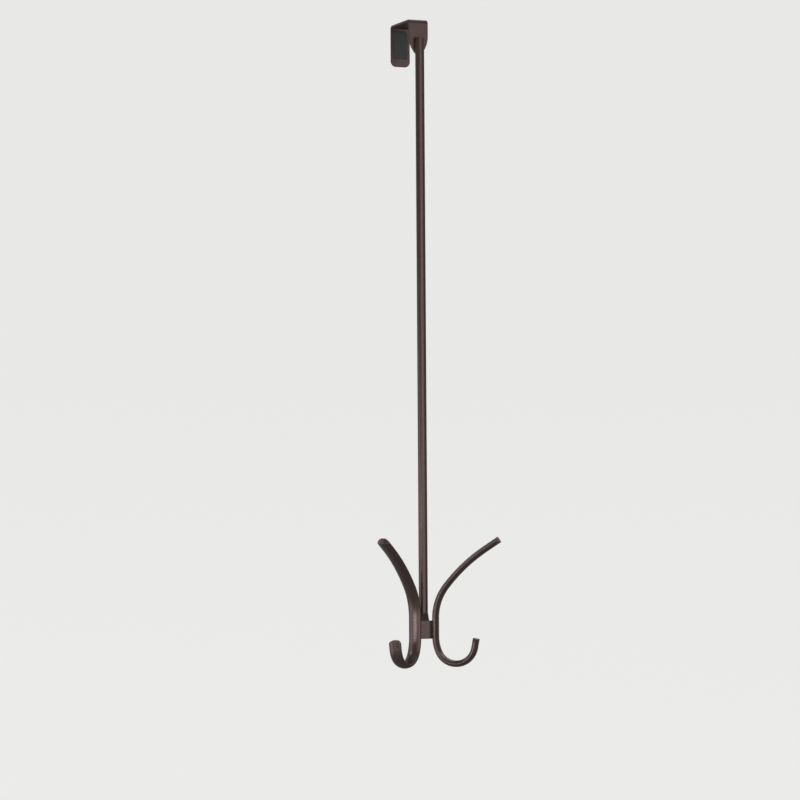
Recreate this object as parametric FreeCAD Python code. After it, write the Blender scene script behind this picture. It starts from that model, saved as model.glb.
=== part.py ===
"""Over-door double hook: a folded strap bracket, a long round rod and two splayed double hooks.

Frame: +Z is up, X runs across the door, the room is towards -Y and the back of the door towards +Y.
The origin is the centre of the underside of the bracket's top plate, which lies on top of the door.
All sizes are in millimetres.
"""
import FreeCAD, Part
import math
import os

from FreeCAD import Vector

# Door and the play around it
DOOR_THICKNESS = 44.5
DOOR_CLEARANCE = 0.25

# Bracket: one strip of flat steel, folded over the top of the door
STRIP_WIDTH = 22.2
STRIP_THICKNESS = 2.5
STRIP_EDGE_RADIUS = 0.9
INSIDE_BEND_RADIUS = 1.5
TAB_STRAIGHT_DROP = 15.0
TAB_OGIVE_RADIUS = 28.5
TAB_TIP_RADIUS = 3.0
BACK_LEG_DROP = 42.0
BACK_LEG_CORNER_RADIUS = 6.0

# Pads that keep the steel off the door
PAD_THICKNESS = 1.0
PAD_SIDE_MARGIN = 3.0
PAD_TOP_MARGIN = 3.5
PAD_CORNER_RADIUS = 2.5
FRONT_PAD_HEIGHT = 19.0
BACK_PAD_HEIGHT = 30.0
BUMPER_WIDTH = 12.0
BUMPER_HEIGHT = 14.0
BUMPER_EDGE_RADIUS = 1.2

# Rod: round bar, flattened where it lies on the tab and pressed into a wide foot
ROD_DIAMETER = 9.6
ROD_END_CHAMFER = 0.4
ROD_TOP_DROP = 17.2
ROD_SEAT_DEPTH = 2.1
SEAT_END_GAP = 0.3
FOOT_WIDTH = 15.0
FOOT_THICKNESS = 4.2
FOOT_CROWN = 7.0
FOOT_CORNER_RADIUS = 2.0
PRESS_RADIUS = 6.0
PRESS_RUNOUT = 0.6
FLARE_LENGTH = 14.0
FLARE_ABOVE_PLATE = 8.55
FOOT_END_MARGIN = 2.6

# Cross plate that joins the two hooks in front of the foot
PLATE_DROP = 639.35
PLATE_HEIGHT = 19.3
PLATE_THICKNESS = 3.0
PLATE_EDGE_RADIUS = 0.7

# Hooks: oval bar, bent into a long upper arm and a tight lower bend
HOOK_SPACING = 23.8
HOOK_SPLAY = 52.0
BAR_WIDTH = 14.3
BAR_THICKNESS = 7.0
BAR_SIDE_RADIUS = 1.8
STEM_ABOVE_PLATE = 2.65
STEM_LENGTH = 19.7
ARM_ROOT_RADIUS = 54.3
ARM_ROOT_ANGLE = 38.0
ARM_SWEEP_RADIUS = 180.0
ARM_SWEEP_ANGLE = 18.8
ARM_END_LENGTH = 18.2
BEND_ROOT_RADIUS = 42.0
BEND_ROOT_ANGLE = 22.3
BEND_RADIUS = 20.6
BEND_ANGLE = 147.4
BEND_END_LENGTH = 10.2
TIP_CORNER_RADIUS = 5.4
TIP_CORNER_BREAK = 0.15
TIP_EDGE_RADIUS = 0.5

# Weld beads, all on the hidden side apart from two tacks on the plate's upper edge
HOOK_BEAD_RADIUS = 2.0
HOOK_BEAD_LENGTH = 13.0
FOOT_BEAD_RADIUS = 1.6
FOOT_BEAD_LENGTH = 8.0
TACK_RADIUS = 1.1
TACK_OFFSET = 4.3
TIP_BEAD_RADIUS = 1.6

# How far cutting tools reach past the metal
CUT_MARGIN = 1.0

# Places that follow from the sizes
LEG_INNER_FACE = DOOR_THICKNESS / 2 + DOOR_CLEARANCE + PAD_THICKNESS
TAB_FRONT_Y = -(LEG_INNER_FACE + STRIP_THICKNESS)
ROD_AXIS_Y = TAB_FRONT_Y - (ROD_DIAMETER / 2 - ROD_SEAT_DEPTH)
FOOT_FRONT_Y = ROD_AXIS_Y - FOOT_THICKNESS / 2
FOOT_BACK_Y = ROD_AXIS_Y + FOOT_THICKNESS / 2
PLATE_FRONT_Y = FOOT_FRONT_Y - PLATE_THICKNESS
PLATE_TOP_Z = -PLATE_DROP
PLATE_BOTTOM_Z = PLATE_TOP_Z - PLATE_HEIGHT
FOOT_END_Z = PLATE_BOTTOM_Z + FOOT_END_MARGIN
HOOK_AXIS_X = HOOK_SPACING / 2
HOOK_AXIS_Y = PLATE_FRONT_Y
STEM_TOP_Z = PLATE_TOP_Z + STEM_ABOVE_PLATE
STEM_BOTTOM_Z = STEM_TOP_Z - STEM_LENGTH
TAB_TIP_DROP = TAB_STRAIGHT_DROP + math.sqrt(
    TAB_OGIVE_RADIUS ** 2 - (TAB_OGIVE_RADIUS - STRIP_WIDTH / 2) ** 2)

X_AXIS = Vector(1, 0, 0)
Y_AXIS = Vector(0, 1, 0)
Z_AXIS = Vector(0, 0, 1)


def prism(outline, direction):
    """Solid made by moving a closed wire along a vector."""
    return Part.Face(outline).extrude(direction)


def rounded_polygon(points, radii):
    """Closed wire through the points, with an arc of the given radius at each corner."""
    count = len(points)
    starts = []
    ends = []
    middles = []
    for i, corner in enumerate(points):
        to_before = (points[i - 1] - corner).normalize()
        to_after = (points[(i + 1) % count] - corner).normalize()
        half = to_before.getAngle(to_after) / 2
        reach = radii[i] / math.tan(half)
        inward = (to_before + to_after).normalize()
        starts.append(corner + to_before * reach)
        ends.append(corner + to_after * reach)
        middles.append(corner + inward * (radii[i] / math.sin(half) - radii[i]))
    edges = []
    for i in range(count):
        if radii[i] > 0:
            edges.append(Part.Arc(starts[i], middles[i], ends[i]).toShape())
        edges.append(Part.LineSegment(ends[i], starts[(i + 1) % count]).toShape())
    return Part.Wire(edges)


def oval_wire(width, thickness, centre):
    """Ellipse in a level plane, with its long axis along X."""
    if width > thickness:
        curve = Part.Ellipse(centre, width / 2, thickness / 2)
    else:
        curve = Part.Circle(centre, Z_AXIS, width / 2)
    return Part.Wire(curve.toShape())


def capsule(start, end, radius):
    """Round-ended bead between two points."""
    length = (end - start).Length
    body = Part.makeCylinder(radius, length, start, end - start)
    return body.fuse([Part.makeSphere(radius, start), Part.makeSphere(radius, end)])


def folded_strip():
    """The strip folded into a channel that opens downwards, before its ends are shaped."""
    inner = LEG_INNER_FACE
    outer = inner + STRIP_THICKNESS
    inside = INSIDE_BEND_RADIUS
    outside = INSIDE_BEND_RADIUS + STRIP_THICKNESS
    side = -STRIP_WIDTH / 2
    corners = [Vector(side, -outer, -TAB_TIP_DROP), Vector(side, -outer, STRIP_THICKNESS),
               Vector(side, outer, STRIP_THICKNESS), Vector(side, outer, -BACK_LEG_DROP),
               Vector(side, inner, -BACK_LEG_DROP), Vector(side, inner, 0),
               Vector(side, -inner, 0), Vector(side, -inner, -TAB_TIP_DROP)]
    radii = [0, outside, outside, 0, 0, inside, inside, 0]
    return prism(rounded_polygon(corners, radii), X_AXIS * STRIP_WIDTH)


def tab_outline():
    """Front view of the tab: straight sides, then two long arcs that meet in a rounded tip."""
    half = STRIP_WIDTH / 2
    top = STRIP_THICKNESS + CUT_MARGIN
    tip_centre_x_gap = TAB_OGIVE_RADIUS - half
    reach = TAB_OGIVE_RADIUS - TAB_TIP_RADIUS
    tip_centre_z = -TAB_STRAIGHT_DROP - math.sqrt(reach ** 2 - tip_centre_x_gap ** 2)
    lean = math.asin(tip_centre_x_gap / reach)
    join = Vector(TAB_TIP_RADIUS * math.sin(lean), 0, tip_centre_z - TAB_TIP_RADIUS * math.cos(lean))
    middle_angle = (math.pi / 2 - lean) / 2
    bulge = Vector(TAB_OGIVE_RADIUS * math.cos(middle_angle) - tip_centre_x_gap, 0,
                   -TAB_STRAIGHT_DROP - TAB_OGIVE_RADIUS * math.sin(middle_angle))
    shoulder = Vector(half, 0, -TAB_STRAIGHT_DROP)
    corner = Vector(half, 0, top)

    def opposite(point):
        return Vector(-point.x, point.y, point.z)

    return Part.Wire([
        Part.LineSegment(opposite(corner), corner).toShape(),
        Part.LineSegment(corner, shoulder).toShape(),
        Part.Arc(shoulder, bulge, join).toShape(),
        Part.Arc(join, Vector(0, 0, tip_centre_z - TAB_TIP_RADIUS), opposite(join)).toShape(),
        Part.Arc(opposite(join), opposite(bulge), opposite(shoulder)).toShape(),
        Part.LineSegment(opposite(shoulder), opposite(corner)).toShape()])


def back_leg_outline():
    """Back view of the leg: straight sides and a square end with rounded corners."""
    half = STRIP_WIDTH / 2
    top = STRIP_THICKNESS + CUT_MARGIN
    corners = [Vector(-half, 0, top), Vector(half, 0, top),
               Vector(half, 0, -BACK_LEG_DROP), Vector(-half, 0, -BACK_LEG_DROP)]
    radii = [0, 0, BACK_LEG_CORNER_RADIUS, BACK_LEG_CORNER_RADIUS]
    return rounded_polygon(corners, radii)


def runs_across(edge):
    """True for a straight edge along X, such as the ends of a fold."""
    direction = edge.tangentAt(edge.FirstParameter)
    return edge.Curve.TypeId == "Part::GeomLine" and abs(direction.x) > 0.999


def door_bracket():
    strip = folded_strip()
    depth = Y_AXIS * (LEG_INNER_FACE + STRIP_THICKNESS + CUT_MARGIN)
    front = prism(tab_outline(), -depth)
    back = prism(back_leg_outline(), depth)
    shaped = strip.common(front.fuse(back).removeSplitter()).removeSplitter()
    rims = [edge for edge in shaped.Edges if not runs_across(edge)]
    return shaped.makeFillet(STRIP_EDGE_RADIUS, rims)


def press_die(side):
    """What a press takes off one side of the rod: a ramp that runs out into the foot's flat."""
    radius = ROD_DIAMETER / 2
    flat = FOOT_THICKNESS / 2
    far = radius + FOOT_THICKNESS
    top = PLATE_TOP_Z + FLARE_ABOVE_PLATE
    below = FOOT_END_Z - FOOT_THICKNESS
    corners = [(far, top), (radius, top), (flat, PLATE_TOP_Z + PRESS_RUNOUT), (flat, below), (far, below)]
    points = [Vector(-FOOT_WIDTH, ROD_AXIS_Y + side * y, z) for y, z in corners]
    return prism(rounded_polygon(points, [0, 0, PRESS_RADIUS, 0, 0]), X_AXIS * 2 * FOOT_WIDTH)


def stem_rod():
    axis = Vector(0, ROD_AXIS_Y, 0)
    neck_z = PLATE_TOP_Z + FLARE_ABOVE_PLATE
    wide_z = neck_z - FLARE_LENGTH
    shank = Part.makeCylinder(ROD_DIAMETER / 2, -ROD_TOP_DROP - neck_z, axis + Z_AXIS * neck_z)
    top_rim = [edge for edge in shank.Edges
               if edge.BoundBox.ZMin > -ROD_TOP_DROP - ROD_END_CHAMFER]
    shank = shank.makeChamfer(ROD_END_CHAMFER, top_rim)
    neck = oval_wire(ROD_DIAMETER, ROD_DIAMETER, axis + Z_AXIS * neck_z)
    wide = oval_wire(FOOT_WIDTH, FOOT_CROWN, axis + Z_AXIS * wide_z)
    end = oval_wire(FOOT_WIDTH, FOOT_CROWN, axis + Z_AXIS * FOOT_END_Z)
    flare = Part.makeLoft([neck, wide], True, True)
    paddle = prism(end, Z_AXIS * (wide_z - FOOT_END_Z))
    half = FOOT_WIDTH / 2
    corners = [Vector(-half, 0, neck_z), Vector(half, 0, neck_z),
               Vector(half, 0, FOOT_END_Z), Vector(-half, 0, FOOT_END_Z)]
    outline = rounded_polygon(corners, [0, 0, FOOT_CORNER_RADIUS, FOOT_CORNER_RADIUS])
    outline.translate(Y_AXIS * (ROD_AXIS_Y - FOOT_WIDTH))
    foot = flare.fuse(paddle).common(prism(outline, Y_AXIS * 2 * FOOT_WIDTH))
    foot = foot.cut([press_die(-1), press_die(1)])
    seat_length = tab_tip_depth() + SEAT_END_GAP
    seat = Part.makeBox(2 * ROD_DIAMETER, ROD_DIAMETER, seat_length,
                        Vector(-ROD_DIAMETER, TAB_FRONT_Y, -seat_length))
    return shank.cut(seat).fuse(foot).removeSplitter()


def bar_section(centre, across, through):
    """Oval bar section: two crowned faces joined by small round sides."""
    half_width = BAR_WIDTH / 2
    half_thickness = BAR_THICKNESS / 2
    side = BAR_SIDE_RADIUS
    flank = half_width - side
    crown = (flank ** 2 + half_thickness ** 2 - side ** 2) / (2 * (half_thickness - side))
    crown_offset = crown - half_thickness
    scale = side / (crown - side)
    tangent = Vector(flank * (1 + scale), crown_offset * scale, 0)

    def place(u, v):
        return centre + across * u + through * v

    def arc(start, middle, end):
        return Part.Arc(place(*start), place(*middle), place(*end)).toShape()

    x, y = tangent.x, tangent.y
    return Part.Wire([
        arc((-x, y), (0, half_thickness), (x, y)),
        arc((x, y), (half_width, 0), (x, -y)),
        arc((x, -y), (0, -half_thickness), (-x, -y)),
        arc((-x, -y), (-half_width, 0), (-x, y))])


def bent_run(start, heading, radius, angle, turn):
    """Arc in the hook's plane: its edge, its end point and the new heading, in radians."""
    side = heading + turn * math.pi / 2
    centre = start + Vector(math.cos(side), 0, math.sin(side)) * radius

    def on_arc(share):
        direction = side + math.pi + turn * math.radians(angle) * share
        return centre + Vector(math.cos(direction), 0, math.sin(direction)) * radius

    end = on_arc(1)
    return Part.Arc(start, on_arc(0.5), end).toShape(), end, heading + turn * math.radians(angle)


def straight_run(start, heading, length):
    end = start + Vector(math.cos(heading), 0, math.sin(heading)) * length
    return Part.LineSegment(start, end).toShape(), end


def corner_tools(tip, heading):
    """Solids that round the two corners of a bar end, as seen on its wide face."""
    along = Vector(math.cos(heading), 0, math.sin(heading))
    normal = Vector(-math.sin(heading), 0, math.cos(heading))
    radius = TIP_CORNER_RADIUS
    centre_across = BAR_WIDTH / 2 - radius + TIP_CORNER_BREAK
    start = math.sqrt(radius ** 2 - (radius - TIP_CORNER_BREAK) ** 2) - radius
    tools = []
    for side in (-1, 1):
        across = Y_AXIS * side
        depth = normal * BAR_THICKNESS
        outline = Part.makePolygon([
            tip + along * start + across * centre_across - depth,
            tip + along * radius + across * centre_across - depth,
            tip + along * radius + across * (BAR_WIDTH / 2 + radius) - depth,
            tip + along * start + across * (BAR_WIDTH / 2 + radius) - depth,
            tip + along * start + across * centre_across - depth])
        block = prism(outline, depth * 2)
        centre = tip - along * radius + across * centre_across - depth
        tools.append(block.cut(Part.makeCylinder(radius, 2 * BAR_THICKNESS, centre, normal)))
    return tools


def end_edges(solid, tip, heading):
    """Edges of the shaped bar end that lie where its end surface meets the crowned faces."""
    along = Vector(math.cos(heading), 0, math.sin(heading))
    normal = Vector(-math.sin(heading), 0, math.cos(heading))
    limit = -TIP_CORNER_RADIUS
    chosen = []
    for edge in solid.Edges:
        ends = [vertex.Point for vertex in edge.Vertexes]
        inside = all((point - tip).dot(along) > limit and (point - tip).Length < BAR_WIDTH
                     for point in ends)
        direction = edge.tangentAt((edge.FirstParameter + edge.LastParameter) / 2)
        if inside and abs(direction.dot(normal)) < 0.9:
            chosen.append(edge)
    return chosen


def straight_hook():
    """One double hook with its stem axis at the origin of its own plane, reaching along +X."""
    up = math.pi / 2
    stem_top = Vector(0, 0, STEM_TOP_Z)
    stem_bottom = Vector(0, 0, STEM_BOTTOM_Z)
    arm_root, point, heading = bent_run(stem_top, up, ARM_ROOT_RADIUS, ARM_ROOT_ANGLE, -1)
    arm_sweep, point, heading = bent_run(point, heading, ARM_SWEEP_RADIUS, ARM_SWEEP_ANGLE, -1)
    arm_end, arm_tip = straight_run(point, heading, ARM_END_LENGTH)
    arm_heading = heading
    bend_root, point, heading = bent_run(stem_bottom, -up, BEND_ROOT_RADIUS, BEND_ROOT_ANGLE, 1)
    bend, point, heading = bent_run(point, heading, BEND_RADIUS, BEND_ANGLE, 1)
    bend_end, bend_tip = straight_run(point, heading, BEND_END_LENGTH)
    stem = Part.LineSegment(stem_bottom, stem_top).toShape()
    path = Part.Wire(Part.__sortEdges__([bend_end, bend, bend_root, stem,
                                         arm_root, arm_sweep, arm_end]))
    across = Vector(-math.sin(heading), 0, math.cos(heading))
    section = bar_section(bend_tip, Y_AXIS, across)
    bar = path.makePipeShell([section], True, False)
    bar = bar.cut(corner_tools(arm_tip, arm_heading) + corner_tools(bend_tip, heading))
    return bar, (arm_tip, arm_heading), (bend_tip, heading)


def right_hook():
    bar, arm_end, bend_end = straight_hook()
    edges = end_edges(bar, *arm_end) + end_edges(bar, *bend_end)
    bar = bar.makeFillet(TIP_EDGE_RADIUS, edges)
    bar.rotate(Vector(0, 0, 0), Z_AXIS, HOOK_SPLAY - 90)
    bar.translate(Vector(HOOK_AXIS_X, HOOK_AXIS_Y, 0))
    return bar


def mirrored(shape):
    """The same shape on the other side of the hook's middle plane."""
    return shape.mirror(Vector(0, 0, 0), X_AXIS)


def cross_plate(hook):
    """Flat plate whose ends are coped to the inner faces of the two hooks."""
    half = HOOK_AXIS_X
    blank = Part.makeBox(2 * half, PLATE_THICKNESS, PLATE_HEIGHT,
                         Vector(-half, PLATE_FRONT_Y, PLATE_BOTTOM_Z))
    long_edges = [edge for edge in blank.Edges if runs_across(edge)]
    blank = blank.makeFillet(PLATE_EDGE_RADIUS, long_edges)
    beyond = Part.makeBox(2 * BAR_WIDTH, 4 * BAR_WIDTH, PLATE_HEIGHT + 2 * CUT_MARGIN,
                          Vector(0, -2 * BAR_WIDTH, PLATE_BOTTOM_Z - CUT_MARGIN))
    beyond.rotate(Vector(0, 0, 0), Z_AXIS, HOOK_SPLAY - 90)
    beyond.translate(Vector(HOOK_AXIS_X, HOOK_AXIS_Y, 0))
    return blank.cut([hook, mirrored(hook), beyond, mirrored(beyond)])


def hook_bead(hook, plate):
    """Bead in the corner between the plate's back and the inner face of the right hook."""
    splay = math.radians(HOOK_SPLAY)
    outward = Vector(math.sin(splay), -math.cos(splay), 0)
    across = Vector(math.cos(splay), math.sin(splay), 0)
    inner = Vector(HOOK_AXIS_X, HOOK_AXIS_Y, 0) - outward * (BAR_THICKNESS / 2)
    corner = inner + across * ((FOOT_FRONT_Y - inner.y) / across.y)
    middle_z = (PLATE_TOP_Z + PLATE_BOTTOM_Z) / 2
    half = Z_AXIS * (HOOK_BEAD_LENGTH / 2)
    centre = Vector(corner.x, corner.y, middle_z)
    return capsule(centre - half, centre + half, HOOK_BEAD_RADIUS).cut([hook, plate])


def foot_welds(rod, plate):
    """Bead under the foot on the plate's back, and a tack at each side of its upper edge."""
    half = X_AXIS * (FOOT_BEAD_LENGTH / 2)
    under = Vector(0, FOOT_FRONT_Y, FOOT_END_Z)
    bead = capsule(under - half, under + half, FOOT_BEAD_RADIUS).cut([rod, plate])
    tacks = []
    for side in (-1, 1):
        place = Vector(side * TACK_OFFSET, FOOT_FRONT_Y - TACK_RADIUS / 2, PLATE_TOP_Z)
        tacks.append(Part.makeSphere(TACK_RADIUS, place).cut([rod, plate]))
    return Part.makeCompound([bead] + tacks)


def rod_weld(rod, bracket):
    """Bead under the tab's tip, between its edge and the back of the rod."""
    tip_z = -tab_tip_depth()
    centre = Vector(0, TAB_FRONT_Y + TIP_BEAD_RADIUS / 2, tip_z)
    spread = X_AXIS * TIP_BEAD_RADIUS
    return capsule(centre - spread, centre + spread, TIP_BEAD_RADIUS).cut([rod, bracket])


def tab_tip_depth():
    """How far the rounded tip of the tab hangs below the top plate's underside."""
    gap = TAB_OGIVE_RADIUS - STRIP_WIDTH / 2
    reach = TAB_OGIVE_RADIUS - TAB_TIP_RADIUS
    return TAB_STRAIGHT_DROP + math.sqrt(reach ** 2 - gap ** 2) + TAB_TIP_RADIUS


def flat_pad(height, inner_y):
    """Thin pad stuck to the inner face of a leg, with its free face towards the door."""
    half = STRIP_WIDTH / 2 - PAD_SIDE_MARGIN
    top = -PAD_TOP_MARGIN
    corners = [Vector(-half, inner_y, top), Vector(half, inner_y, top),
               Vector(half, inner_y, top - height), Vector(-half, inner_y, top - height)]
    outline = rounded_polygon(corners, [PAD_CORNER_RADIUS] * 4)
    direction = Y_AXIS * (PAD_THICKNESS if inner_y < 0 else -PAD_THICKNESS)
    return prism(outline, direction)


def foot_bumper():
    """Soft block on the back of the foot that meets the door."""
    half = BUMPER_WIDTH / 2
    middle_z = (PLATE_TOP_Z + FOOT_END_Z) / 2
    front = FOOT_BACK_Y
    depth = -(DOOR_THICKNESS / 2 + DOOR_CLEARANCE) - front
    block = Part.makeBox(BUMPER_WIDTH, depth, BUMPER_HEIGHT,
                         Vector(-half, front, middle_z - BUMPER_HEIGHT / 2))
    rounded = [edge for edge in block.Edges if edge.BoundBox.YMax > front + depth / 2]
    return block.makeFillet(BUMPER_EDGE_RADIUS, rounded)


def build():
    bracket = door_bracket()
    rod = stem_rod()
    hook = right_hook()
    plate = cross_plate(hook)
    bead = hook_bead(hook, plate)
    return {
        "door_bracket": bracket,
        "stem_rod": rod,
        "cross_plate": plate,
        "right_hook": hook,
        "left_hook": mirrored(hook),
        "right_hook_weld": bead,
        "left_hook_weld": mirrored(bead),
        "foot_welds": foot_welds(rod, plate),
        "rod_weld": rod_weld(rod, bracket),
        "front_pad": flat_pad(FRONT_PAD_HEIGHT, -LEG_INNER_FACE),
        "back_pad": flat_pad(BACK_PAD_HEIGHT, LEG_INNER_FACE),
        "foot_bumper": foot_bumper(),
    }


os.makedirs("parts", exist_ok=True)
for name, shape in build().items():
    shape.exportStep("parts/" + name + ".step")
    box = shape.BoundBox
    print(name, shape.isValid(), len(shape.Solids), round(shape.Volume, 1),
          [round(v, 2) for v in (box.XMin, box.YMin, box.ZMin, box.XMax, box.YMax, box.ZMax)])
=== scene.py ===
"""Looks of the over-door hook: satin bronze coat, rippled welds, foam pads and a rubber foot bumper.

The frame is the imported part's: +Z up, +Y through the door to its back. Lengths are in metres, or in
millimetres where a comment says so.
"""

import math

import bmesh
import bpy
from mathutils import Matrix, Vector, noise


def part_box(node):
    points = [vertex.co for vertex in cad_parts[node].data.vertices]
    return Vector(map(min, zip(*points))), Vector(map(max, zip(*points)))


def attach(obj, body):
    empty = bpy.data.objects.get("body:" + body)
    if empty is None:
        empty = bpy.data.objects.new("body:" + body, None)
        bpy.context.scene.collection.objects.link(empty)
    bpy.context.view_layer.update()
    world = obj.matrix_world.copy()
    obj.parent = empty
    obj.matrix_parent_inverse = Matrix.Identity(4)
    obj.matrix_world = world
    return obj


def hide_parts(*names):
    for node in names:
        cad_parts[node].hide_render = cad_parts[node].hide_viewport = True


MM = 0.001

# Camera: where it stands, how it is turned, and its focal length in widths of the picture
CAMERA_PLACE = (-1.2443, -2.9118, -0.5)
CAMERA_AZIMUTH = -22.917
CAMERA_ELEVATION = -1.736
CAMERA_ROLL = -0.369
FOCAL_LENGTH_IN_WIDTHS = 2950 / 800
SENSOR_WIDTH_MM = 36.0
CAMERA_NEAR = 0.05
CAMERA_FAR = 50

# Room: a floor that curves up into a round wall, with its paint, and the world outside it
ROOM_RADIUS = 4.6
ROOM_FLOOR = -1.3
ROOM_HEIGHT = 3.2
COVE_RADIUS = 1.1
COVE_STEPS = 16
ROOM_SIDES = 96
MERGE_DISTANCE = 1e-5
ROOM_COLOUR = (0.15, 0.15, 0.148)
ROOM_ROUGHNESS = 0.9
ROOM_GLOW = (0.73, 0.73, 0.72)
# Share of the glow that gloss gets from the wall in front of the part and from the one behind it
ROOM_GLOW_IN_GLOSS = (0.03, 0.44)
WORLD_COLOUR = (0.10, 0.10, 0.10)
SKY_LOOK = (0.79, 0.79, 0.78)

# Soft boxes: azimuth in degrees, distance, height of the middle, width, height, and brightness
SOFT_BOXES = {
    "front_box": (1, 1.5, -0.42, 1.7, 1.5, 1.6),
    "left_box": (-60, 0.8, -0.69, 0.5, 0.27, 6.0),
    "side_box": (-106, 1.0, -0.75, 0.6, 0.9, 1.5),
}
# Power of a soft box at brightness 1, in watts per square metre
SOFT_BOX_POWER = 4
# Distant lamps: azimuth, elevation and spread in degrees, and strength
FAR_LAMPS = {
    "left_back": (-112, 38, 26, 0.6),
    "left_front": (-46, 3, 50, 0.85),
    "right_front": (38, 3, 40, 0.55),
    "right_high": (60, 42, 35, 0.35),
    "top": (0, 82, 50, 0.3),
    "low_back": (180, -35, 50, 0.5),
    "left_behind": (-162, 8, 55, 0.85),
    "right_behind": (125, 38, 50, 0.6),
    "right_side": (95, 24, 50, 0.6),
}

# Bronze coat
COATED_NODES = ("door_bracket", "stem_rod", "cross_plate", "right_hook", "left_hook")
COAT_DARK = (0.0150, 0.0108, 0.0100)
COAT_LIGHT = (0.0310, 0.0228, 0.0212)
COAT_SPECK_SCALE = 1900
COAT_SHEEN_SCALE = 240
COAT_ROUGHNESS = (0.28, 0.37)
COAT_SPECULAR = 0.64
COAT_SPECULAR_TINT = (1.0, 0.70, 0.66)
# Pebbles of the coat: scale, strength, and height in millimetres
COAT_PEBBLES = ((450, 0.6, 0.05), (1700, 0.45, 0.02))

# Foam of the pads, with the depth of its lumps and pores in millimetres
# The darker foam colour is painted shade in the pores' hollows
FOAM_PORE_SHADE = (0.014, 0.014, 0.015)
FOAM_LIGHT = (0.040, 0.040, 0.042)
FOAM_PORE_SCALE = 3200
FOAM_SHEEN_SCALE = 900
FOAM_LUMP_SCALE = 600
FOAM_ROUGHNESS = (0.82, 0.95)
FOAM_SPECULAR = 0.3
FOAM_DEPTH = 0.06

# Rubber of the bumper, with the depth of its grain in millimetres
RUBBER_DARK = (0.028, 0.026, 0.025)
RUBBER_LIGHT = (0.046, 0.043, 0.041)
RUBBER_BLOOM_SCALE = 260
RUBBER_SHEEN_SCALE = 500
RUBBER_GRAIN_SCALE = 3500
RUBBER_ROUGHNESS = (0.55, 0.72)
RUBBER_SPECULAR = 0.4
RUBBER_GRAIN_DEPTH = 0.03

# Weld ripples, in millimetres: pitch, unevenness, and how far the line of a bead wanders and how fast
BEAD_PITCH = 1.15
TACK_PITCH = 0.9
RIPPLE_UNEVENNESS = 0.12
BEAD_WANDER = 0.06
BEAD_WANDER_SCALE = 0.5
# Shares of the radius: groove depth, how far ripples trail at the sides, and height of the crown
RIPPLE_DEPTH = 0.10
RIPPLE_TRAIL = 0.55
CROWN_HEIGHT = 0.9
# Share of the pitch that a ripple takes up, and the power that makes it fuller than a sine
RIPPLE_WIDTH = 0.85
RIPPLE_FULLNESS = 0.7
# Mesh of a bead: points round it, and rings along it with their spacing in millimetres
BEAD_SIDES = 48
BEAD_LEAST_RINGS = 24
BEAD_RING_SPACING = 0.12

# Beads, in millimetres. The lengths are between the centres of their round ends
HOOK_BEAD_X = 9.8
HOOK_BEAD_LENGTH = 13.0
HOOK_BEAD_RADIUS = 2.0
FOOT_BEAD_LENGTH = 8.0
FOOT_BEAD_RADIUS = 1.6
TACK_X = 4.3
TACK_LENGTH = 0.3
TACK_RADIUS = 1.1
TACK_INSET = 0.55
TIP_BEAD_Z = -36.64
TIP_BEAD_LENGTH = 3.2
TIP_BEAD_RADIUS = 1.6
TIP_BEAD_INSET = 0.8
# Where the crowns point. The hook bead's is the right one's, and the left one's is its mirror image
HOOK_BEAD_CROWN = (-0.44, 0.9)
BACK_AND_DOWN = (0, 1, -1)
FORWARD_AND_UP = (0, -1, 1)

# Moulded blocks: steps round a corner and along a side, the least corner radius in millimetres, the
# rings of the face as shares of the way out from its middle, and how fast the unevenness changes
CORNER_STEPS = 14
SIDE_STEPS = 10
LEAST_CORNER_RADIUS = 0.05
FACE_RINGS = (0.97, 0.93, 0.88, 0.82, 0.76, 0.7, 0.63, 0.56, 0.48, 0.4, 0.31, 0.22, 0.13, 0.06)
UNEVENNESS_SCALE = 1.7

# Pads, in millimetres: inset and height of the rings up the side, then the face and its unevenness
PAD_CORNER_RADIUS = 2.5
PAD_SIDE_RINGS = ((0, 0), (0, 0.11), (0.14, 0.14), (0.22, 0.3), (0.23, 0.5), (0.25, 0.66),
                  (0.33, 0.80), (0.48, 0.88))
PAD_HEIGHT = 0.97
PAD_CROWN = 0.08
PAD_UNEVENNESS = 0.02

# Bumper, in millimetres: rings up the flange and the tapered side, then the face and its dish
BUMPER_CORNER_RADIUS = 2.4
BUMPER_SIDE_RINGS = ((0.10, 0.0), (0.0, 0.10), (0.0, 0.80), (0.12, 0.94), (0.50, 1.0), (0.72, 1.06),
                     (0.80, 1.25), (0.86, 2.0), (0.92, 2.9), (0.97, 3.2), (1.10, 3.5), (1.32, 3.75),
                     (1.62, 3.92), (1.95, 4.0))
BUMPER_HEIGHT = 4.08
BUMPER_CROWN = 0.08
BUMPER_DISH_DEPTH = 0.3
BUMPER_DISH_RADIUS = 2.6


def direction(azimuth, elevation):
    """Way from the part. Azimuth 0 is straight into the room, and positive azimuths lie to the right."""
    a, e = math.radians(azimuth), math.radians(elevation)
    return Vector((math.sin(a) * math.cos(e), -math.cos(a) * math.cos(e), math.sin(e)))


def box_mm(node):
    """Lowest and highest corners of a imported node, in millimetres."""
    low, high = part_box(node)
    return low / MM, high / MM


def lamp_object(name, lamp, back):
    """Puts a lamp in the scene. back is the direction behind it, and it shines the other way."""
    made = bpy.data.objects.new(name, lamp)
    bpy.context.scene.collection.objects.link(made)
    made.rotation_mode = "QUATERNION"
    made.rotation_quaternion = back.to_track_quat("Z", "Y")
    made.visible_camera = False
    return made


def far_lamp(name, azimuth, elevation, spread, strength):
    """Distant lamp that shines on the part from one direction."""
    lamp = bpy.data.lights.new(name, "SUN")
    lamp.energy = strength
    lamp.angle = math.radians(spread)
    lamp_object(name, lamp, direction(azimuth, elevation))


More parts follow.
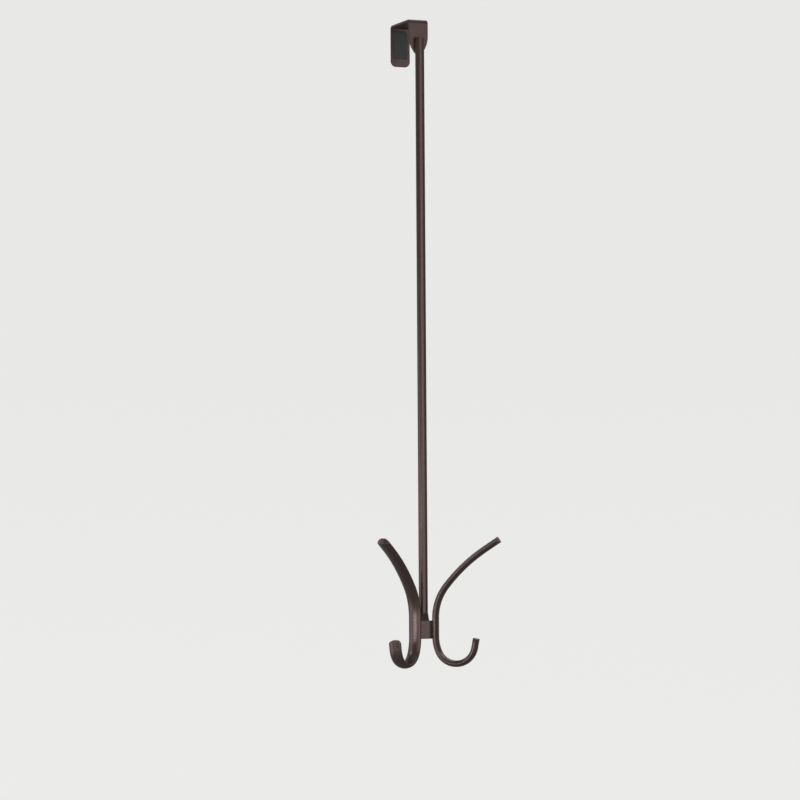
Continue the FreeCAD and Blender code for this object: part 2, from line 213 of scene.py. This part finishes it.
def soft_box(name, azimuth, distance, middle_z, width, height, brightness):
    """Glowing panel that stands upright and faces the part."""
    lamp = bpy.data.lights.new(name, "AREA")
    lamp.shape = "RECTANGLE"
    lamp.size = width
    lamp.size_y = height
    lamp.energy = SOFT_BOX_POWER * brightness * width * height
    back = direction(azimuth, 0)
    lamp_object(name, lamp, back).location = back * distance + Vector((0, 0, middle_z))


def make_camera():
    """Camera at its place, aimed by its angles and then rolled."""
    data = bpy.data.cameras.new("camera")
    data.sensor_width = SENSOR_WIDTH_MM
    data.lens = FOCAL_LENGTH_IN_WIDTHS * SENSOR_WIDTH_MM
    data.clip_start = CAMERA_NEAR
    data.clip_end = CAMERA_FAR
    camera = bpy.data.objects.new("camera", data)
    bpy.context.scene.collection.objects.link(camera)
    back = direction(CAMERA_AZIMUTH, CAMERA_ELEVATION)
    right = Vector((0, 0, 1)).cross(back).normalized()
    up = back.cross(right)
    turned = Matrix((right, up, back)).transposed() @ Matrix.Rotation(math.radians(CAMERA_ROLL), 3, "Z")
    camera.matrix_world = Matrix.Translation(CAMERA_PLACE) @ turned.to_4x4()
    bpy.context.scene.camera = camera


def mesh_object(name, mesh):
    """Turns a bmesh into a smooth-shaded object in the scene."""
    data = bpy.data.meshes.new(name)
    mesh.to_mesh(data)
    mesh.free()
    for face in data.polygons:
        face.use_smooth = True
    made = bpy.data.objects.new(name, data)
    bpy.context.scene.collection.objects.link(made)
    return made


def make_room():
    """Floor and round wall. They neither shade the part nor send diffuse light to it."""
    profile = [(0.0, ROOM_FLOOR), (ROOM_RADIUS - COVE_RADIUS, ROOM_FLOOR)]
    for i in range(1, COVE_STEPS + 1):
        angle = math.pi / 2 * i / COVE_STEPS
        profile.append((ROOM_RADIUS - COVE_RADIUS + COVE_RADIUS * math.sin(angle),
                        ROOM_FLOOR + COVE_RADIUS - COVE_RADIUS * math.cos(angle)))
    profile.append((ROOM_RADIUS, ROOM_FLOOR + ROOM_HEIGHT))
    mesh = bmesh.new()
    points = [mesh.verts.new((r, 0, z)) for r, z in profile]
    edges = [mesh.edges.new(pair) for pair in zip(points, points[1:])]
    bmesh.ops.spin(mesh, geom=points + edges, cent=(0, 0, 0), axis=(0, 0, 1),
                   angle=2 * math.pi, steps=ROOM_SIDES, use_merge=True)
    bmesh.ops.remove_doubles(mesh, verts=mesh.verts, dist=MERGE_DISTANCE)
    room = mesh_object("room", mesh)
    room.visible_shadow = False
    room.visible_diffuse = False
    room.data.materials.append(room_paint())


def seen_rays(nodes, links):
    """Light path node, and its camera and see-through rays as one value."""
    rays = nodes.new("ShaderNodeLightPath")
    seen = nodes.new("ShaderNodeMath")
    seen.operation = "MAXIMUM"
    links.new(rays.outputs["Is Camera Ray"], seen.inputs[0])
    links.new(rays.outputs["Is Transmission Ray"], seen.inputs[1])
    return rays, seen.outputs[0]


def map_range(nodes, links, value, start, end, low, high):
    """Map Range node: what runs from start to end becomes a value from low to high."""
    node = nodes.new("ShaderNodeMapRange")
    for socket, number in zip(("From Min", "From Max", "To Min", "To Max"), (start, end, low, high)):
        node.inputs[socket].default_value = number
    links.new(value, node.inputs["Value"])
    return node


def room_paint():
    """Matt paint with a steady pale glow for camera and see-through rays, and a weaker one for gloss."""
    material = bpy.data.materials.new("room_paint")
    material.use_nodes = True
    nodes, links = material.node_tree.nodes, material.node_tree.links
    shader = nodes["Principled BSDF"]
    shader.inputs["Base Color"].default_value = (*ROOM_COLOUR, 1)
    shader.inputs["Roughness"].default_value = ROOM_ROUGHNESS
    shader.inputs["Specular IOR Level"].default_value = 0.0
    shader.inputs["Emission Color"].default_value = (*ROOM_GLOW, 1)
    rays, seen = seen_rays(nodes, links)
    apart = nodes.new("ShaderNodeSeparateXYZ")
    links.new(nodes.new("ShaderNodeTexCoord").outputs["Object"], apart.inputs[0])
    share = map_range(nodes, links, apart.outputs["Y"], 0, ROOM_RADIUS / 2, *ROOM_GLOW_IN_GLOSS)
    share.interpolation_type = "SMOOTHSTEP"
    glow = nodes.new("ShaderNodeMath")
    glow.operation = "MULTIPLY_ADD"
    links.new(rays.outputs["Is Glossy Ray"], glow.inputs[0])
    links.new(share.outputs["Result"], glow.inputs[1])
    links.new(seen, glow.inputs[2])
    links.new(glow.outputs[0], shader.inputs["Emission Strength"])
    return material


def make_world():
    """Weak even light. Above the wall the camera sees it as pale as the wall."""
    world = bpy.data.worlds.new("studio")
    world.use_nodes = True
    nodes, links = world.node_tree.nodes, world.node_tree.links
    light = nodes["Background"]
    light.inputs["Color"].default_value = (*WORLD_COLOUR, 1)
    look = nodes.new("ShaderNodeBackground")
    look.inputs["Color"].default_value = (*SKY_LOOK, 1)
    choice = nodes.new("ShaderNodeMixShader")
    links.new(seen_rays(nodes, links)[1], choice.inputs[0])
    links.new(light.outputs[0], choice.inputs[1])
    links.new(look.outputs[0], choice.inputs[2])
    links.new(choice.outputs[0], nodes["World Output"].inputs["Surface"])
    bpy.context.scene.world = world


class Finish:
    """A procedural material built on one Principled shader in the part's own coordinates."""

    def __init__(self, name):
        self.material = bpy.data.materials.new(name)
        self.material.use_nodes = True
        self.nodes, self.links = self.material.node_tree.nodes, self.material.node_tree.links
        self.shader = self.nodes["Principled BSDF"]
        self.place = self.nodes.new("ShaderNodeTexCoord").outputs["Object"]
        self.normal = None

    def noise(self, scale, detail=2, roughness=0.5):
        node = self.nodes.new("ShaderNodeTexNoise")
        node.inputs["Scale"].default_value = scale
        node.inputs["Detail"].default_value = detail
        node.inputs["Roughness"].default_value = roughness
        self.links.new(self.place, node.inputs["Vector"])
        return node.outputs["Fac"]

    def cells(self, scale):
        node = self.nodes.new("ShaderNodeTexVoronoi")
        node.inputs["Scale"].default_value = scale
        self.links.new(self.place, node.inputs["Vector"])
        return node.outputs["Distance"]

    def span(self, value, low, high, start=0.3, end=0.7):
        return map_range(self.nodes, self.links, value, start, end, low, high).outputs["Result"]

    def ramp(self, value, dark, light, start=0.3, end=0.7):
        node = self.nodes.new("ShaderNodeValToRGB")
        first, last = node.color_ramp.elements
        first.position, first.color = start, (*dark, 1)
        last.position, last.color = end, (*light, 1)
        self.links.new(value, node.inputs["Fac"])
        return node.outputs["Color"]

    def feed(self, socket, value):
        self.links.new(value, self.shader.inputs[socket])

    def fixed(self, socket, value):
        self.shader.inputs[socket].default_value = value

    def bump(self, height, strength, distance):
        node = self.nodes.new("ShaderNodeBump")
        node.inputs["Strength"].default_value = strength
        node.inputs["Distance"].default_value = distance
        self.links.new(height, node.inputs["Height"])
        if self.normal:
            self.links.new(self.normal, node.inputs["Normal"])
        self.normal = node.outputs["Normal"]
        self.links.new(self.normal, self.shader.inputs["Normal"])


def bronze_coat():
    """Satin dark bronze powder coat: fine pebbled skin with slightly uneven colour and sheen."""
    coat = Finish("bronze_coat_fine")
    specks = coat.noise(COAT_SPECK_SCALE, detail=4, roughness=0.7)
    coat.feed("Base Color", coat.ramp(specks, COAT_DARK, COAT_LIGHT, start=0.35, end=0.65))
    sheen = coat.noise(COAT_SHEEN_SCALE, detail=5, roughness=0.65)
    coat.feed("Roughness", coat.span(sheen, *COAT_ROUGHNESS))
    coat.fixed("Specular IOR Level", COAT_SPECULAR)
    coat.fixed("Specular Tint", (*COAT_SPECULAR_TINT, 1))
    for scale, strength, height in COAT_PEBBLES:
        coat.bump(coat.noise(scale), strength, height * MM)
    return coat.material


def foam():
    """Matt closed-cell foam with small open pores, painted darker inside as shade in their hollows."""
    skin = Finish("closed_cell_foam")
    pores = skin.cells(FOAM_PORE_SCALE)
    # The pores are painted darker: painted shade in their hollows, where the bump dips them
    skin.feed("Base Color", skin.ramp(pores, FOAM_PORE_SHADE, FOAM_LIGHT, start=0.1, end=0.5))
    skin.feed("Roughness", skin.span(skin.noise(FOAM_SHEEN_SCALE, detail=3), *FOAM_ROUGHNESS))
    skin.fixed("Specular IOR Level", FOAM_SPECULAR)
    skin.bump(skin.noise(FOAM_LUMP_SCALE), strength=0.4, distance=FOAM_DEPTH * MM)
    skin.bump(pores, strength=0.7, distance=FOAM_DEPTH * MM)
    return skin.material


def soft_rubber():
    """Moulded rubber with a faint bloom."""
    skin = Finish("moulded_rubber")
    bloom = skin.noise(RUBBER_BLOOM_SCALE, detail=4)
    skin.feed("Base Color", skin.ramp(bloom, RUBBER_DARK, RUBBER_LIGHT))
    skin.feed("Roughness", skin.span(skin.noise(RUBBER_SHEEN_SCALE, detail=3), *RUBBER_ROUGHNESS))
    skin.fixed("Specular IOR Level", RUBBER_SPECULAR)
    skin.bump(skin.noise(RUBBER_GRAIN_SCALE, detail=3), strength=0.4, distance=RUBBER_GRAIN_DEPTH * MM)
    return skin.material


def fitted(piece, material, node):
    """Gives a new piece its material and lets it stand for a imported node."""
    piece.data.materials.append(material)
    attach(piece, "root")
    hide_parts(node)


def ripple(s, across, radius, pitch, seed):
    """Share of a bead's radius that is left at a place on it: 1 on a crest, and less in a groove.

    s is the distance along the bead, and across is the place from side to side, -1 to 1. The ripples are
    crescents, as the pool leaves them.
    """
    trail = RIPPLE_TRAIL * radius * across * across
    uneven = RIPPLE_UNEVENNESS * noise.noise(Vector((s, across, seed)))
    phase = (s + trail + uneven) / pitch
    step = phase - math.floor(phase)
    return 1 - RIPPLE_DEPTH * (1 - math.sin(math.pi * min(step / RIPPLE_WIDTH, 1)) ** RIPPLE_FULLNESS)


def weld_bead(mesh, start, end, radius, crown, seed, pitch=BEAD_PITCH):
    """Adds a rippled bead between two points, with its crown towards one direction, in millimetres."""
    start, end, crown = Vector(start), Vector(end), Vector(crown)
    along = (end - start).normalized()
    crown = (crown - along * crown.dot(along)).normalized()
    side = along.cross(crown)
    reach = (end - start).length + 2 * radius
    count = max(BEAD_LEAST_RINGS, round(reach / BEAD_RING_SPACING))
    first = mesh.verts.new((start - along * radius) * MM)
    rings = []
    for i in range(1, count):
        s = reach * i / count
        past = max(radius - s, s - (reach - radius), 0)
        cap = math.sqrt(radius * radius - past * past) / radius
        wander = BEAD_WANDER * noise.noise(Vector((s * BEAD_WANDER_SCALE, seed, 0)))
        ring = []
        for k in range(BEAD_SIDES):
            angle = 2 * math.pi * k / BEAD_SIDES
            across, height = math.sin(angle), math.cos(angle)
            rise = radius * cap * ripple(s, across, radius, pitch, seed) * (CROWN_HEIGHT if height > 0 else 1)
            place = (start + along * (s - radius) + side * (radius * cap * across + wander)
                     + crown * (rise * height))
            ring.append(mesh.verts.new(place * MM))
        rings.append(ring)
    last = mesh.verts.new((start + along * (reach - radius)) * MM)
    for k in range(BEAD_SIDES):
        mesh.faces.new((first, rings[0][k], rings[0][(k + 1) % BEAD_SIDES]))
    for near, far in zip(rings, rings[1:]):
        for k in range(BEAD_SIDES):
            mesh.faces.new((near[k], far[k], far[(k + 1) % BEAD_SIDES], near[(k + 1) % BEAD_SIDES]))
    for k in range(BEAD_SIDES):
        mesh.faces.new((last, rings[-1][(k + 1) % BEAD_SIDES], rings[-1][k]))


def weld_piece(name, mesh, material, node):
    """Turns a mesh of beads into the piece that stands for a weld node."""
    bmesh.ops.recalc_face_normals(mesh, faces=mesh.faces)
    fitted(mesh_object(name, mesh), material, node)


def hook_bead(name, sign, material):
    """Upright bead between a hook and the back of the plate. sign is 1 on the right and -1 on the left."""
    low, high = box_mm("cross_plate")
    x = sign * HOOK_BEAD_X
    middle, half = (low.z + high.z) / 2, HOOK_BEAD_LENGTH / 2
    across, back = HOOK_BEAD_CROWN
    mesh = bmesh.new()
    weld_bead(mesh, (x, high.y, middle - half), (x, high.y, middle + half), HOOK_BEAD_RADIUS,
              (across * sign, back, 0), seed=3.0 + sign)
    weld_piece(name + "_hook_bead", mesh, material, name + "_hook_weld")


def foot_beads(material):
    """Bead under the end of the foot, behind the plate, and two tacks on the plate's upper edge."""
    plate_high = box_mm("cross_plate")[1]
    foot_low = box_mm("stem_rod")[0]
    half = FOOT_BEAD_LENGTH / 2
    mesh = bmesh.new()
    weld_bead(mesh, (-half, plate_high.y, foot_low.z), (half, plate_high.y, foot_low.z), FOOT_BEAD_RADIUS,
              BACK_AND_DOWN, seed=9.0)
    half = TACK_LENGTH / 2
    y, z = plate_high.y - TACK_INSET, plate_high.z
    for sign in (-1, 1):
        x = sign * TACK_X
        weld_bead(mesh, (x - half, y, z), (x + half, y, z), TACK_RADIUS, FORWARD_AND_UP,
                  seed=sign * 5.0, pitch=TACK_PITCH)
    weld_piece("foot_beads", mesh, material, "foot_welds")


def rod_bead(material):
    """Bead across the tip of the tab, behind the rod."""
    y = box_mm("door_bracket")[0].y + TIP_BEAD_INSET
    half = TIP_BEAD_LENGTH / 2
    mesh = bmesh.new()
    weld_bead(mesh, (-half, y, TIP_BEAD_Z), (half, y, TIP_BEAD_Z), TIP_BEAD_RADIUS, BACK_AND_DOWN, seed=13.0)
    weld_piece("rod_bead", mesh, material, "rod_weld")


def rounded_outline(half_x, half_z, radius, inset):
    """Points round a rounded rectangle that is drawn in by a distance."""
    radius = max(radius - inset, LEAST_CORNER_RADIUS)
    x, z = half_x - inset - radius, half_z - inset - radius
    corners = ((x, z, 0), (-x, z, 90), (-x, -z, 180), (x, -z, 270))
    points = []
    for i, (centre_x, centre_z, start) in enumerate(corners):
        for k in range(CORNER_STEPS + 1):
            angle = math.radians(start + 90 * k / CORNER_STEPS)
            points.append((centre_x + radius * math.cos(angle), centre_z + radius * math.sin(angle)))
        here = points[-1]
        next_x, next_z, start = corners[(i + 1) % 4]
        angle = math.radians(start)
        there = (next_x + radius * math.cos(angle), next_z + radius * math.sin(angle))
        for k in range(1, SIDE_STEPS):
            share = k / SIDE_STEPS
            points.append((here[0] + (there[0] - here[0]) * share, here[1] + (there[1] - here[1]) * share))
    return points


def moulded_block(name, node, towards, corner_radius, side_rings, face, unevenness=0.0):
    """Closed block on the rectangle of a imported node: rings up its side, then a crowned face.

    towards is 1 or -1, the way along Y that the face looks. side_rings holds the inset and height of each
    ring. face gives the height from the share of the way out from the middle, 0 to 1, and from the
    distance to the middle, in millimetres.
    """
    low, high = box_mm(node)
    half_x, half_z = (high.x - low.x) / 2, (high.z - low.z) / 2
    middle_z = (high.z + low.z) / 2
    base_y = low.y if towards > 0 else high.y
    mesh = bmesh.new()

    def ring(inset, height=None, share=1.0):
        made = []
        for x, z in rounded_outline(half_x, half_z, corner_radius, inset):
            x, z = x * share, z * share
            lift = face(share, math.hypot(x, z)) if height is None else height
            lift += unevenness * noise.noise(Vector((x * UNEVENNESS_SCALE, z * UNEVENNESS_SCALE, base_y)))
            made.append(mesh.verts.new(Vector((x, base_y + towards * lift, middle_z + z)) * MM))
        return made

    rings = [ring(inset, height) for inset, height in side_rings]
    last_inset = side_rings[-1][0]
    rings += [ring(last_inset, share=share) for share in FACE_RINGS]
    count = len(rings[0])
    for outer, inner in zip(rings, rings[1:]):
        for k in range(count):
            mesh.faces.new((outer[k], outer[(k + 1) % count], inner[(k + 1) % count], inner[k]))
    mesh.faces.new(rings[0])
    middle = mesh.verts.new(Vector((0, base_y + towards * face(0, 0), middle_z)) * MM)
    for k in range(count):
        mesh.faces.new((rings[-1][k], rings[-1][(k + 1) % count], middle))
    bmesh.ops.recalc_face_normals(mesh, faces=mesh.faces)
    return mesh_object(name, mesh)


def foam_pad(side, towards, material):
    """Die-cut foam on its adhesive film, with a softly crowned face."""

    def face(share, away):
        return PAD_HEIGHT - PAD_CROWN * share ** 4

    piece = moulded_block(side + "_foam", side + "_pad", towards, PAD_CORNER_RADIUS, PAD_SIDE_RINGS, face,
                          PAD_UNEVENNESS)
    fitted(piece, material, side + "_pad")


def bumper(material):
    """Rubber bumper: a thin flange, a tapered body and a domed face with a shallow round dish in it."""

    def face(share, away):
        dish = BUMPER_DISH_DEPTH * math.exp(-(away / BUMPER_DISH_RADIUS) ** 4)
        return BUMPER_HEIGHT - BUMPER_CROWN * share ** 2 - dish

    piece = moulded_block("rubber_bumper", "foot_bumper", 1, BUMPER_CORNER_RADIUS, BUMPER_SIDE_RINGS, face)
    fitted(piece, material, "foot_bumper")


def coat_nodes(frame, material):
    """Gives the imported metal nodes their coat."""
    for name in COATED_NODES:
        for slot in frame["nodes"][name].material_slots:
            slot.material = material


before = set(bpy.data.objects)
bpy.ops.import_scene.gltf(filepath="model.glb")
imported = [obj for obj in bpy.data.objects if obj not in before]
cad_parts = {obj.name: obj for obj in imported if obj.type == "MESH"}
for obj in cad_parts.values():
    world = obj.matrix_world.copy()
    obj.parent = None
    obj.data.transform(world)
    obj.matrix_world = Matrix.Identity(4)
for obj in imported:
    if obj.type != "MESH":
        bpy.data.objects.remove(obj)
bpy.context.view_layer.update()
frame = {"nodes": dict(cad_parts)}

make_world()
make_room()
make_camera()
for box_name, box_facts in SOFT_BOXES.items():
    soft_box(box_name, *box_facts)
for lamp_name, lamp_facts in FAR_LAMPS.items():
    far_lamp(lamp_name, *lamp_facts)

bronze = bronze_coat()
coat_nodes(frame, bronze)
hook_bead("right", 1, bronze)
hook_bead("left", -1, bronze)
foot_beads(bronze)
rod_bead(bronze)
pad_foam = foam()
foam_pad("front", 1, pad_foam)
foam_pad("back", -1, pad_foam)
bumper(soft_rubber())

bpy.context.scene.view_settings.view_transform = "Standard"
